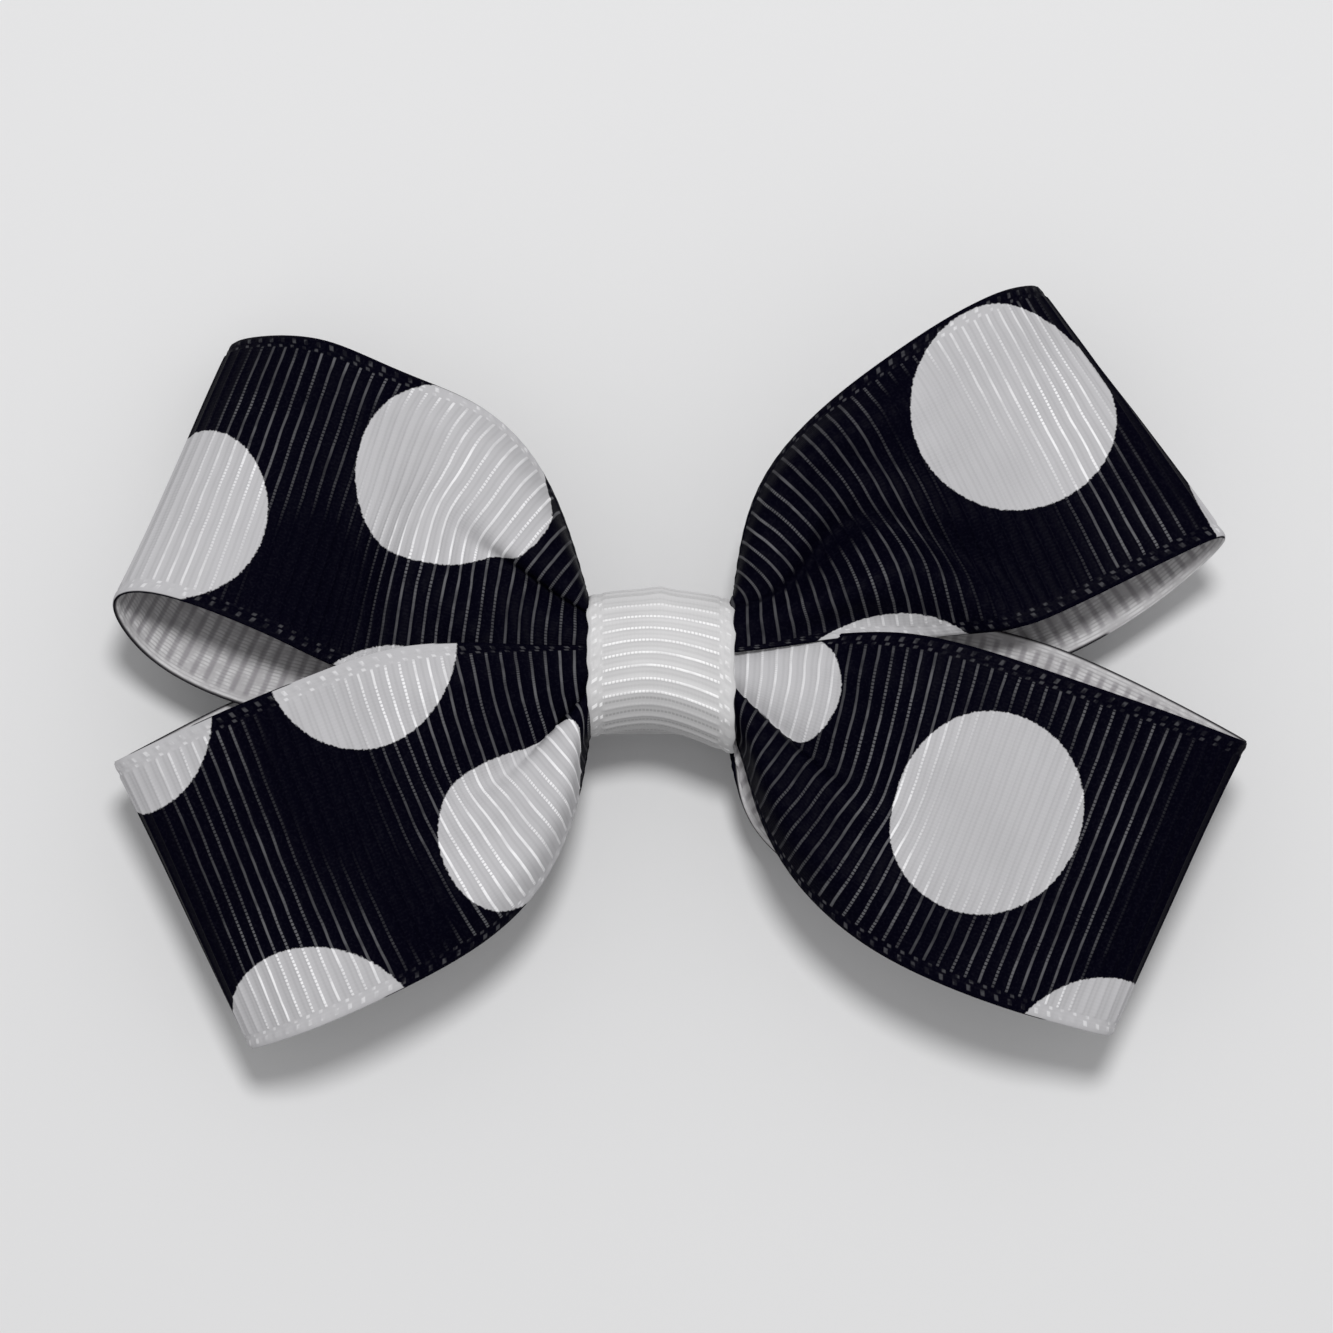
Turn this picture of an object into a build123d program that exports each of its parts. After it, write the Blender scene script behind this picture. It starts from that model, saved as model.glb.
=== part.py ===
"""Hair bow: a pinwheel bow of wide grosgrain ribbon on a sprung alligator clip.

Frame, in mm: Z up with the bow's face up, X along the bow's length, Y across it, the knot on the Z axis,
and the clip's lower jaw lying flat on Z = 0.
"""

import os
from math import cos, radians, sin

from build123d import *

os.makedirs("parts", exist_ok=True)

# Ribbon
RIBBON_THICK = 0.5  # a loop's wall, ribs included
FRONT_PASS_THICK = 2.1  # a front pass, gathered at the knot
BACK_PASS_THICK = 1.4  # a back pass, gathered at the knot

# Knot, with heights above the top of the clip's upper plate
WRAP_WIDTH = 10.0
WRAP_THICK = 0.5
WRAP_GAP = 0.45
KNOT_HALF_WIDTH = 4.6
KNOT_LOW = 0.7
KNOT_HIGH = 6.05
TIE_WIRE = 0.3
TIE_TURNS = 5

# Clip
CLIP_TIP_X = -22.5
CLIP_HANDLE_X = 22.5
PIN_X = 9.5
PLATE_THICK = 0.6
UPPER_WIDTH = 7.4
LOWER_WIDTH = 7.0
UPPER_PLATE_Z = 5.2
PLATE_TOP = UPPER_PLATE_Z + PLATE_THICK
PIN_Z = (UPPER_PLATE_Z + PLATE_THICK) / 2
EAR_THICK = 0.6
EAR_RADIUS = 1.6
EAR_GAP = 0.1
EAR_LENGTH = 6.0
EAR_FOOT = 0.5
PLATE_CORNER = 1.2
NOSE_LENGTH = 5.0
NOSE_Z = 3.5  # where the upper jaw's nose turns down to its teeth
NOSE_BEND = 1.1
NOSE_LIP = 0.5
NOSE_NARROWING = 0.6
LIP_NARROWING = 2.4
TEETH_Z = 2.1
TOOTH_DEPTH = 0.9
TOOTH_PITCH = 2.0
TOOTH_COUNT = 5
TEETH_GAP = 0.1
PIN_RADIUS = 0.8
PIN_CLEARANCE = 0.04
RIVET_RADIUS = 1.35
RIVET_HEAD = 0.45

# Spring
SPRING_WIRE = 0.6
SPRING_RADIUS = 1.95
SPRING_TURNS = 3.5
SPRING_PITCH = 0.66
SPRING_LEG = 7.0

GLUE_LENGTH = 12.0
GLUE_WIDTH = 6.5
GLUE_GAP = 0.02

# Each loop is a run of sections from the knot out along the front, round the fold and back under itself to the
# knot: (a point on the outer selvage, a point on the inner selvage). The outer selvage is the one away from y = 0.
# Heights are above the top of the clip's upper plate.
KNOT_X = 5.05
KNOT_MID_X = 2.5
KNOT_SECTIONS = 3  # how many sections at each end lie inside the knot
FLARE = 0.035  # the share of a loop's length over which the gathers open out
LOOP_STEPS = 48

UPPER_LEFT = [
    ((0, 4.5, 4.95), (0, 1.5, 4.95)),
    ((-KNOT_MID_X, 4.5, 4.95), (-KNOT_MID_X, 1.5, 4.95)),
    ((-KNOT_X, 4.5, 4.95), (-KNOT_X, 1.5, 4.95)),
    ((-6.7, 10.8, 4.9), (-8.5, 1.4, 5.5)),
    ((-11.6, 18.2, 4.6), (-16.5, -0.4, 7.2)),
    ((-18.6, 21.4, 2.4), (-23.6, 0.8, 8.0)),
    ((-26.2, 24.0, 0.6), (-32.4, 4.7, 8.9)),
    ((-30.4, 23.7, -2.8), (-38.1, 4.8, 5.6)),
    ((-29.0, 22.5, -4.1), (-37.5, 2.6, 3.1)),
    ((-23.4, 18.6, -4.0), (-32.8, -1.2, 2.5)),
    ((-15.2, 14.8, -2.0), (-22.5, -3.3, 2.5)),
    ((-7.8, 8.8, 1.6), (-11.5, -3.5, 2.8)),
    ((-KNOT_X, 4.5, 2.95), (-KNOT_X, -4.5, 2.95)),
    ((-KNOT_MID_X, 4.5, 2.95), (-KNOT_MID_X, -4.5, 2.95)),
    ((0, 4.5, 2.95), (0, -4.5, 2.95)),
]
UPPER_RIGHT = [
    ((0, 4.5, 4.95), (0, 1.5, 4.95)),
    ((KNOT_MID_X, 4.5, 4.95), (KNOT_MID_X, 1.5, 4.95)),
    ((KNOT_X, 4.5, 4.95), (KNOT_X, 1.5, 4.95)),
    ((5.8, 11.0, 5.9), (9.0, 2.0, 6.0)),
    ((9.6, 17.2, 6.9), (15.5, 2.8, 6.6)),
    ((16.2, 22.2, 7.0), (24.0, 3.0, 7.1)),
    ((22.8, 26.0, 5.8), (32.4, 6.4, 7.6)),
    ((26.2, 26.8, 2.3), (39.8, 9.8, 4.9)),
    ((24.0, 25.6, -0.3), (38.0, 7.0, 2.1)),
    ((17.5, 20.0, -0.9), (31.0, 2.6, 0.9)),
    ((11.5, 13.5, -0.2), (21.5, -0.8, 0.7)),
    ((7.6, 8.2, 0.9), (11.5, -3.0, 1)),
    ((KNOT_X, 4.5, 1.45), (KNOT_X, -4.5, 1.45)),
    ((KNOT_MID_X, 4.5, 1.45), (KNOT_MID_X, -4.5, 1.45)),
    ((0, 4.5, 1.45), (0, -4.5, 1.45)),
]
LOWER_LEFT = [
    ((0, -4.5, 4.95), (0, 1.1, 4.95)),
    ((-KNOT_MID_X, -4.5, 4.95), (-KNOT_MID_X, 1.1, 4.95)),
    ((-KNOT_X, -4.5, 4.95), (-KNOT_X, 1.1, 4.95)),
    ((-6.2, -9.6, 6), (-9.0, 1.9, 8.2)),
    ((-9.6, -16.2, 7.4), (-16.0, 1.3, 10.1)),
    ((-16.4, -21.4, 8), (-24.0, -0.6, 10.2)),
    ((-23.6, -25.0, 7), (-32.0, -3.4, 8.6)),
    ((-28.4, -25.8, 3.4), (-38.2, -6.4, 4.7)),
    ((-25.8, -24.6, 0), (-35.6, -4.6, 1.2)),
    ((-20.0, -20.6, -0.8), (-28.0, -0.6, 0.6)),
    ((-13.0, -14.6, -0.4), (-19.0, 0.4, 0.7)),
    ((-8.0, -8.6, 0.8), (-10.5, 2.4, 1.1)),
    ((-KNOT_X, -4.5, 1.45), (-KNOT_X, 4.5, 1.45)),
    ((-KNOT_MID_X, -4.5, 1.45), (-KNOT_MID_X, 4.5, 1.45)),
    ((0, -4.5, 1.45), (0, 4.5, 1.45)),
]
LOWER_RIGHT = [
    ((0, -4.5, 4.95), (0, 1.1, 4.95)),
    ((KNOT_MID_X, -4.5, 4.95), (KNOT_MID_X, 1.1, 4.95)),
    ((KNOT_X, -4.5, 4.95), (KNOT_X, 1.1, 4.95)),
    ((6.8, -9.8, 6), (9.0, 1.7, 7.7)),
    ((9.6, -15.0, 7.4), (16.0, 2.4, 8.9)),
    ((16.4, -20.4, 8.0), (24.2, 1.2, 9.7)),
    ((24.6, -24.0, 7.7), (33.0, -1.6, 8.9)),
    ((31.0, -25.2, 4.7), (41.0, -4.7, 5.6)),
    ((28.8, -24.2, 1.3), (38.6, -2.8, 2.6)),
    ((22.4, -20.4, 0.1), (31.4, 0.8, 2.3)),
    ((14.6, -14.6, 0.5), (23.0, 3.2, 2.4)),
    ((8.6, -8.6, 1.8), (12.5, 3.6, 2.6)),
    ((KNOT_X, -4.5, 2.95), (KNOT_X, 4.5, 2.95)),
    ((KNOT_MID_X, -4.5, 2.95), (KNOT_MID_X, 4.5, 2.95)),
    ((0, -4.5, 2.95), (0, 4.5, 2.95)),
]


def smooth_point(points, stations, at):
    """The point at a station on a smooth curve through the points."""
    last = len(points) - 1
    i = max(k for k in range(last) if stations[k] <= at)

    def slope(k):
        low, high = max(k - 1, 0), min(k + 1, last)
        return (points[high] - points[low]) * (1 / (stations[high] - stations[low]))

    step = stations[i + 1] - stations[i]
    t = (at - stations[i]) / step
    start = points[i] * (2 * t**3 - 3 * t**2 + 1) + slope(i) * (step * (t**3 - 2 * t**2 + t))
    end = points[i + 1] * (3 * t**2 - 2 * t**3) + slope(i + 1) * (step * (t**3 - t**2))
    return start + end


def wall_half(at, front_end, back_start):
    """Half of the ribbon's thickness at a station: gathered in the knot, one layer outside it."""
    single = RIBBON_THICK / 2
    front = min(max((front_end + FLARE - at) / FLARE, 0), 1)
    back = min(max((at - back_start + FLARE) / FLARE, 0), 1)
    ease_front = front**2 * (3 - 2 * front)
    ease_back = back**2 * (3 - 2 * back)
    return single + (FRONT_PASS_THICK / 2 - single) * ease_front + (BACK_PASS_THICK / 2 - single) * ease_back


def ribbon_loop(sections):
    """A loop of ribbon: a thin closed band along its sections, thicker where it is gathered at the knot."""
    lift = Vector(0, 0, PLATE_TOP)
    outer = [Vector(*section[0]) + lift for section in sections]
    inner = [Vector(*section[1]) + lift for section in sections]
    middles = [(a + b) * 0.5 for a, b in zip(outer, inner)]
    last = len(sections) - 1
    steps = [(middles[i + 1] - middles[i]).length for i in range(last)]
    stations = [sum(steps[:i]) / sum(steps) for i in range(last + 1)]
    corner_runs = [[], [], [], []]
    for k in range(LOOP_STEPS + 1):
        at = k / LOOP_STEPS
        before, after = max(at - 0.005, 0), min(at + 0.005, 1)
        a, b = smooth_point(outer, stations, at), smooth_point(inner, stations, at)
        along = smooth_point(outer, stations, after) + smooth_point(inner, stations, after)
        along -= smooth_point(outer, stations, before) + smooth_point(inner, stations, before)
        half = wall_half(at, stations[KNOT_SECTIONS - 1], stations[last - KNOT_SECTIONS + 1])
        normal = along.cross(a - b).normalized() * half
        for run, corner in zip(corner_runs, (a + normal, b + normal, b - normal, a - normal)):
            run.append(corner)
    ticks = [k / LOOP_STEPS for k in range(LOOP_STEPS + 1)]
    edges = [Edge.make_spline(run, parameters=ticks) for run in corner_runs]
    faces = [Face.make_surface_from_curves(edges[i], edges[(i + 1) % 4]) for i in range(4)]
    for end in (0, -1):
        faces.append(Face(Wire.make_polygon([run[end] for run in corner_runs], close=True)))
    loop = Solid(Shell(faces))
    return loop if loop.volume > 0 else Solid(loop.wrapped.Reversed())


def band(inner_half_width, inner_low, inner_high, thick, width, corner):
    """A closed band around the knot, as wide as width along X."""
    middle = (inner_low + inner_high) / 2
    height = inner_high - inner_low
    outer = Rectangle(2 * (inner_half_width + thick), height + 2 * thick)
    outer = fillet(outer.vertices(), corner + thick)
    inner = Rectangle(2 * inner_half_width, height)
    inner = fillet(inner.vertices(), corner)
    plane = Plane(origin=(0, 0, middle), x_dir=(0, 1, 0), z_dir=(1, 0, 0))
    return extrude(plane * (outer - inner), amount=width / 2, both=True)


def centre_wrap():
    """The plain ribbon around the knot and the clip's upper jaw."""
    low = UPPER_PLATE_Z - 0.05
    high = PLATE_TOP + KNOT_HIGH + WRAP_GAP - 0.05
    return band(KNOT_HALF_WIDTH + WRAP_GAP, low, high, WRAP_THICK, WRAP_WIDTH, 0.8)


def tie_thread():
    """The turns of thread around the gathers, side by side."""
    low, high = PLATE_TOP + KNOT_LOW, PLATE_TOP + KNOT_HIGH
    turn = band(KNOT_HALF_WIDTH, low, high, TIE_WIRE, TIE_WIRE, 0.15)
    first = -(TIE_TURNS - 1) / 2 * TIE_WIRE
    turns = [Pos(first + i * TIE_WIRE, 0, 0) * turn for i in range(TIE_TURNS)]
    return turns[0].fuse(*turns[1:]).clean()


def glue_pad():
    """The hot glue between the clip and the gathers, with a groove where the thread passes."""
    low = PLATE_TOP + GLUE_GAP
    high = PLATE_TOP + KNOT_LOW + 0.03
    pad = Pos(0, 0, (low + high) / 2) * Box(GLUE_LENGTH, GLUE_WIDTH, high - low)
    groove = Box(TIE_TURNS * TIE_WIRE + 0.2, GLUE_WIDTH, 2 * (TIE_WIRE + 0.05))
    return pad - Pos(0, 0, high) * groove


def rounded_plate(x_low, x_high, width, z_low, corner):
    """A flat steel plate with rounded corners."""
    outline = RectangleRounded(x_high - x_low, width, corner)
    return Pos((x_low + x_high) / 2, 0, z_low) * extrude(outline, amount=PLATE_THICK)


def ear(y_low, y_high, z_root, up):
    """An ear of a jaw, from its plate to a round end about the pin."""
    reach = abs(z_root - PIN_Z)
    side = 1 if up else -1
    y_middle = (y_low + y_high) / 2
    web = Pos(PIN_X, y_middle, z_root + side * reach / 2) * Box(2 * EAR_RADIUS, y_high - y_low, reach)
    end = Pos(PIN_X, y_middle, PIN_Z) * Rot(90, 0, 0) * Cylinder(EAR_RADIUS, y_high - y_low)
    foot = Pos(PIN_X, y_middle, z_root + side * EAR_FOOT / 2) * Box(EAR_LENGTH, y_high - y_low, EAR_FOOT)
    return web + end + foot


def pin_bore(radius):
    return Pos(PIN_X, 0, PIN_Z) * Rot(90, 0, 0) * Cylinder(radius, UPPER_WIDTH + 2)


def tooth_line(z_mid, shift):
    """The zigzag across the jaws' tips, as points from one side to the other."""
    points = []
    for i in range(2 * TOOTH_COUNT + 1):
        y = (i - TOOTH_COUNT) * TOOTH_PITCH / 2
        z = z_mid + (TOOTH_DEPTH / 2 if i % 2 else -TOOTH_DEPTH / 2)
        points.append((y, z + shift))
    return points


def tip_wall(x_low, width, z_far, shift):
    """A toothed wall at a jaw's tip, from the tooth line to z_far."""
    line = tooth_line(TEETH_Z, shift)
    outline = Polyline(*line, (line[-1][0], z_far), (line[0][0], z_far), close=True)
    plane = Plane(origin=(x_low, 0, 0), x_dir=(0, 1, 0), z_dir=(1, 0, 0))
    wall = extrude(plane * make_face(outline), amount=PLATE_THICK)
    trim = Pos(x_low, 0, (TEETH_Z + z_far) / 2) * Box(4, width, 12)
    return wall & trim


def clip_upper_jaw():
    """The jaw that the bow is glued to: a flat plate, a nose bent down to the teeth, and two ears."""
    nose_x = CLIP_TIP_X + NOSE_LENGTH
    plate = rounded_plate(nose_x - PLATE_CORNER - 0.3, CLIP_HANDLE_X, UPPER_WIDTH, UPPER_PLATE_Z, PLATE_CORNER)
    profile = Polyline(
        (nose_x + 1, PLATE_TOP),
        (nose_x, PLATE_TOP),
        (CLIP_TIP_X + NOSE_BEND, NOSE_Z + 0.9),
        (CLIP_TIP_X, NOSE_Z),
        (CLIP_TIP_X, NOSE_Z - NOSE_LIP),
        (CLIP_TIP_X + PLATE_THICK, NOSE_Z - NOSE_LIP),
        (CLIP_TIP_X + PLATE_THICK, NOSE_Z - 0.15),
        (CLIP_TIP_X + NOSE_BEND + 0.3, NOSE_Z + 0.35),
        (nose_x, UPPER_PLATE_Z),
        (nose_x + 1, UPPER_PLATE_Z),
        close=True,
    )
    plane = Plane(origin=(0, 0, 0), x_dir=(1, 0, 0), z_dir=(0, -1, 0))
    nose = extrude(plane * make_face(profile), amount=(UPPER_WIDTH - NOSE_NARROWING) / 2, both=True)
    teeth = tip_wall(CLIP_TIP_X, UPPER_WIDTH - NOSE_NARROWING, NOSE_Z, TEETH_GAP / 2)
    jaw = plate + nose + teeth
    outer = UPPER_WIDTH / 2
    for side in (-1, 1):
        low, high = sorted((side * outer, side * (outer - EAR_THICK)))
        jaw += ear(low, high, UPPER_PLATE_Z, up=False)
    return jaw - pin_bore(PIN_RADIUS + PIN_CLEARANCE)


def clip_lower_jaw():
    """The jaw that opens: a flat plate with a toothed lip and two ears inside the upper jaw's."""
    plate = rounded_plate(CLIP_TIP_X, CLIP_HANDLE_X, LOWER_WIDTH, 0, PLATE_CORNER)
    lip = tip_wall(CLIP_TIP_X, LOWER_WIDTH - LIP_NARROWING, PLATE_THICK / 2, -TEETH_GAP / 2)
    jaw = plate + lip
    outer = UPPER_WIDTH / 2 - EAR_THICK - EAR_GAP
    for side in (-1, 1):
        low, high = sorted((side * outer, side * (outer - EAR_THICK)))
        jaw += ear(low, high, PLATE_THICK, up=True)
    return jaw - pin_bore(PIN_RADIUS + PIN_CLEARANCE)


def clip_hinge_pin():
    """The rivet through the four ears, with a head outside each upper ear."""
    across = UPPER_WIDTH + 2 * RIVET_HEAD
    pin = Rot(90, 0, 0) * Cylinder(PIN_RADIUS, across)
    for side in (-1, 1):
        head = Rot(90, 0, 0) * Cylinder(RIVET_RADIUS, RIVET_HEAD - 0.02)
        pin += Pos(0, side * (UPPER_WIDTH / 2 + 0.01 + RIVET_HEAD / 2), 0) * head
    return Pos(PIN_X, 0, PIN_Z) * pin


def clip_spring():
    """The torsion spring: a coil around the pin, with a leg under the upper handle and one on the lower."""
    length = SPRING_TURNS * SPRING_PITCH
    helix = Edge.make_helix(SPRING_PITCH, length, SPRING_RADIUS)
    start, end = helix @ 0, helix @ 1
    first_leg = Edge.make_line(start - (helix % 0) * SPRING_LEG, start)
    last_leg = Edge.make_line(end, end + (helix % 1) * SPRING_LEG)
    path = Wire([first_leg, helix, last_leg])
    section = Plane(origin=path @ 0, z_dir=path % 0) * Circle(SPRING_WIRE / 2)
    spring = Solid.sweep(section.face(), path, is_frenet=True)
    # local X becomes down, local -Y the bow's +X, local Z the pin's axis
    lay = Plane(origin=(PIN_X, -length / 2, PIN_Z), x_dir=(0, 0, -1), z_dir=(0, 1, 0))
    return lay * spring


NODES = {
    "loop_upper_left": ribbon_loop(UPPER_LEFT),
    "loop_upper_right": ribbon_loop(UPPER_RIGHT),
    "loop_lower_left": ribbon_loop(LOWER_LEFT),
    "loop_lower_right": ribbon_loop(LOWER_RIGHT),
    "centre_wrap": centre_wrap(),
    "tie_thread": tie_thread(),
    "glue_pad": glue_pad(),
    "clip_upper_jaw": clip_upper_jaw(),
    "clip_lower_jaw": clip_lower_jaw(),
    "clip_hinge_pin": clip_hinge_pin(),
    "clip_spring": clip_spring(),
}

for name, shape in NODES.items():
    export_step(shape, f"parts/{name}.step")
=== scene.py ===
"""Polka-dot grosgrain hair bow on a single-prong alligator clip: the looks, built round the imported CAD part.

The row frame is Z up with the bow's face upward, X along the bow and the clip, and the knot on the Z axis.
Shapes are worked out in millimetres and turned into metres when a mesh is made.
"""
import math

import bpy
import numpy as np
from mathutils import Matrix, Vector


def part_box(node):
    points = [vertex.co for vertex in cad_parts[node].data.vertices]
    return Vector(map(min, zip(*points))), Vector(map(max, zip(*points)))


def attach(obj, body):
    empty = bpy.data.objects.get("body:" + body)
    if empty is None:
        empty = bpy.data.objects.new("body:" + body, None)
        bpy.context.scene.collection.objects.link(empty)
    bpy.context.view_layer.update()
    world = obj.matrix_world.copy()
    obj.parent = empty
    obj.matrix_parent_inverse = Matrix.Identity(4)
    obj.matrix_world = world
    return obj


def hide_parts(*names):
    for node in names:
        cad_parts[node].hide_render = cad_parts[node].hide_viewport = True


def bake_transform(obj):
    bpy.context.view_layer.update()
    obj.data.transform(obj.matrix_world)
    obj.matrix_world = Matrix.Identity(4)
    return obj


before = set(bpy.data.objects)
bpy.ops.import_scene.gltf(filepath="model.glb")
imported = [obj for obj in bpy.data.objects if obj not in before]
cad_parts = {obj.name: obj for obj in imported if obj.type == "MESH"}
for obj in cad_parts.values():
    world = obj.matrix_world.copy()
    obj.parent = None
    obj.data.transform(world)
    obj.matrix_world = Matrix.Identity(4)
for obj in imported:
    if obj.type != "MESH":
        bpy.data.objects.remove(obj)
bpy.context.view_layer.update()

MM = 0.001

# The bow's ribbon
RIBBON_WIDTH = 22.2
RIBBON_THICK = 0.30  # in the grooves between ribs, both faces
RIB_PITCH = 0.97
DOT_RADIUS = 7.0

# The weave of both ribbons
RIB_HEIGHT = 0.09  # how far a rib stands proud of the groove, on each face
RIB_STEPS = (-0.42, -0.25, -0.15, -0.08, 0.0, 0.08, 0.15, 0.25)  # a rib's rows, in pitches from its crest
OUTER_SHARPNESS = 5.0  # narrow crests on the outer face
INNER_SHARPNESS = 1.2  # round ones on the inner face
THREAD_PITCH = 0.26  # warp threads, side by side across the ribbon
SELVAGE = 1.15  # width of the woven edge band that the ribs stop at
SELVAGE_ROWS = (0.0, 0.06, 0.16, 0.27, 0.38, 0.49, 0.60, 0.71, 0.82, 0.93, 1.04, 1.15, 1.28)
ROW_SPACING = 0.62  # at least, between the rows inside the selvages
BUMP_PLACE = 0.48  # the selvage's row of bumps, from the ribbon's edge
BUMP_SPREAD = 0.26
BUMP_SHARE = 0.8  # of a rib's height
BUMP_SLANT = 0.45  # in rib pitches for each mm across
EDGE_THIN = 0.35  # the share of the thickness left at the very edge
EDGE_ROUND = 0.18  # from the edge to where the ribbon has its full thickness

# How a loop's ends run on inside the wrap, drawn in to fit it
KNOT_INSET = 1.7
INSET_ROWS = 4
INSET_NARROWING = 0.06
INSET_LOW_LEFT = -3.3  # limits of y
INSET_LOW_RIGHT = -4.2
INSET_HIGH = 4.6
INSET_FLOOR = 6.9  # limits of z, the upper one crowned
INSET_TOP = 11.9
INSET_CROWN = 0.05
PAST_LIMIT = 0.03  # the share of its distance past a limit that a point keeps, so that no two points meet

# The coarse grid of a loop, and how it settles
STEP_ALONG = 0.75
STEPS_ACROSS = 24
SETTLING_ROUNDS = 200
HOLD = (0.06, 0.06, 0.006)  # how hard each round holds a point to its first place, in x, y and z
LATE_HOLD = 0.3  # the share of that in the last quarter of the rounds
STIFF_ALONG = 0.15  # against bending
STIFF_ACROSS = 0.3
HOLD_WIDTH = 0.8
HOLD_SHEAR = 0.3
GATHER_LENGTH = 3.0  # from the knot to where the ribbon starts to open to its full width
OPENING_LENGTH = 9.0
MOST_STRETCH = 1.02  # of the space between two columns

# The centre wrap
WRAP_WIDTH = 10.2
WRAP_THICK = 0.28
WRAP_RIB_PITCH = 0.90
WRAP_ARCH = 0.90  # how far its middle is pushed towards +Y over the gathers
WRAP_PEAK = 0.35  # a narrow crest at the top of the arch, on the +Y side
WRAP_DROOP = 0.95  # how far its right-hand end hangs towards -Y
# Its path round the gathers, as (y, z): from the hidden end under the clip, up the +Y side, over the knot,
# and down and under again, below its own start
WRAP_PATH = [(-2.8, 4.93), (0.0, 4.93), (2.5, 4.93), (3.75, 5.05), (4.4, 5.8), (5.05, 8.0), (5.15, 10.2),
             (4.4, 11.8), (2.6, 12.6), (0.5, 12.75), (-1.8, 12.55), (-3.6, 11.7), (-4.35, 10.1), (-4.35, 8.0),
             (-4.0, 5.8), (-3.7, 4.75), (-2.8, 4.45), (0.0, 4.45), (2.9, 4.45)]
PATH_SAMPLES = 1500

# The thread round the gathers, inside the wrap, as (y, z)
THREAD_PATH = [(0.0, 6.75), (3.2, 6.8), (4.1, 7.6), (4.4, 9.2), (3.9, 10.8), (2.4, 11.8), (0.2, 12.0),
               (-1.7, 11.8), (-2.8, 10.9), (-3.25, 9.2), (-3.2, 7.6), (-2.6, 6.8)]
THREAD_WIDTH = 0.3
THREAD_TURNS = 5
THREAD_STEPS = 90  # in a turn

# The clip's spring, round the hinge pin at (x, z)
PIN = (9.5, 2.9)
SPRING_WIRE = 0.6
SPRING_RADIUS = 1.95
SPRING_TURNS = 3.5
SPRING_PITCH = 0.66
SPRING_LEG = 7.0
SPRING_LEG_START = 0.4
SPRING_STEPS = 30  # in a turn
SPRING_LEG_STEPS = 12

# The glue bead's rings, and the powers that make its outline and its edge squarer than an ellipse
GLUE_AROUND = 72
GLUE_UP = 17
GLUE_CORNER = 0.55
GLUE_SIDE = 0.35
GLUE_FACE = 0.8

# Colours
INK = (0.0011, 0.0009, 0.0045)
INK_FLECK = (0.0038, 0.0036, 0.0080)
INK_CREST_HIGHLIGHT = (0.125, 0.125, 0.135)  # a painted highlight on a rib's crest, where it is inked
EDGE_DARK_LINE = (0.020, 0.018, 0.022)  # a dark line along the ribbon's edge, except in the core of a dot
DOT_CORE = (-1.6, -1.1)  # from this far inside a dot's rim
# Each ribbon's white: its body, the painted highlight on its ribs' crests, where the noise breaks that
# highlight into beads, how bright the selvage's stitches are, and its specular level
DOTTED = {"band": (0.53, 0.525, 0.54), "line": (0.94, 0.935, 0.95), "beads": (0.44, 0.60), "stitch": 0.45,
          "specular": 0.012}
WRAP = {"band": (0.64, 0.635, 0.64), "line": (0.95, 0.945, 0.95), "beads": (0.34, 0.54), "stitch": 0.75,
        "specular": 0.2}
# The unprinted face: its threads' own white, painted highlights on the thread tops, and painted shade in the
# grooves between the ribs
BACK_DULL = (0.48, 0.47, 0.48)  # the unprinted face's threads
BACK_LIT = (0.78, 0.775, 0.78)
BACK_GROOVE_SHADE = (0.25, 0.235, 0.255)
SPRING_STEEL = (0.60, 0.60, 0.62)
CLIP_STEEL = (0.50, 0.50, 0.515)
RIVET_STEEL = (0.42, 0.42, 0.435)

# Where the ribs' crests get no painted highlight: the blur of that stretch at the fold, in mm, and of a patch,
# in shares of its size
UNLIT_FOLD_BLUR = 1.2
UNLIT_BLUR = (0.55, 1.25)
FAR = 99.0  # further from a dot than any part of a ribbon

# Stage. The lamp's and the camera's places and the lamp's size are in metres.
FLOOR_HALF = 900.0
LAMP_PLACE = (0.02, 0.13, 0.50)
LAMP_SIZE = 0.09
LAMP_WATTS = 1.42
ROOM_COLOUR = (0.95, 0.95, 0.955, 1)
ROOM_STRENGTH = 0.48
CAMERA_PLACE = (0.000381, -0.017779, 0.358520)
CAMERA_TILT = 3.0
CAMERA_LENS = 135.17

# Each loop is a net of points that its ribbon follows. The front layer near the knot is pleated, so its rows
# have six points: inner selvage, inner middle, the pleat's valley, its ridge, outer middle and outer selvage.
ACROSS_SHARES = [0.0, 0.28, 0.50, 0.60, 0.80, 1.0]
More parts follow.
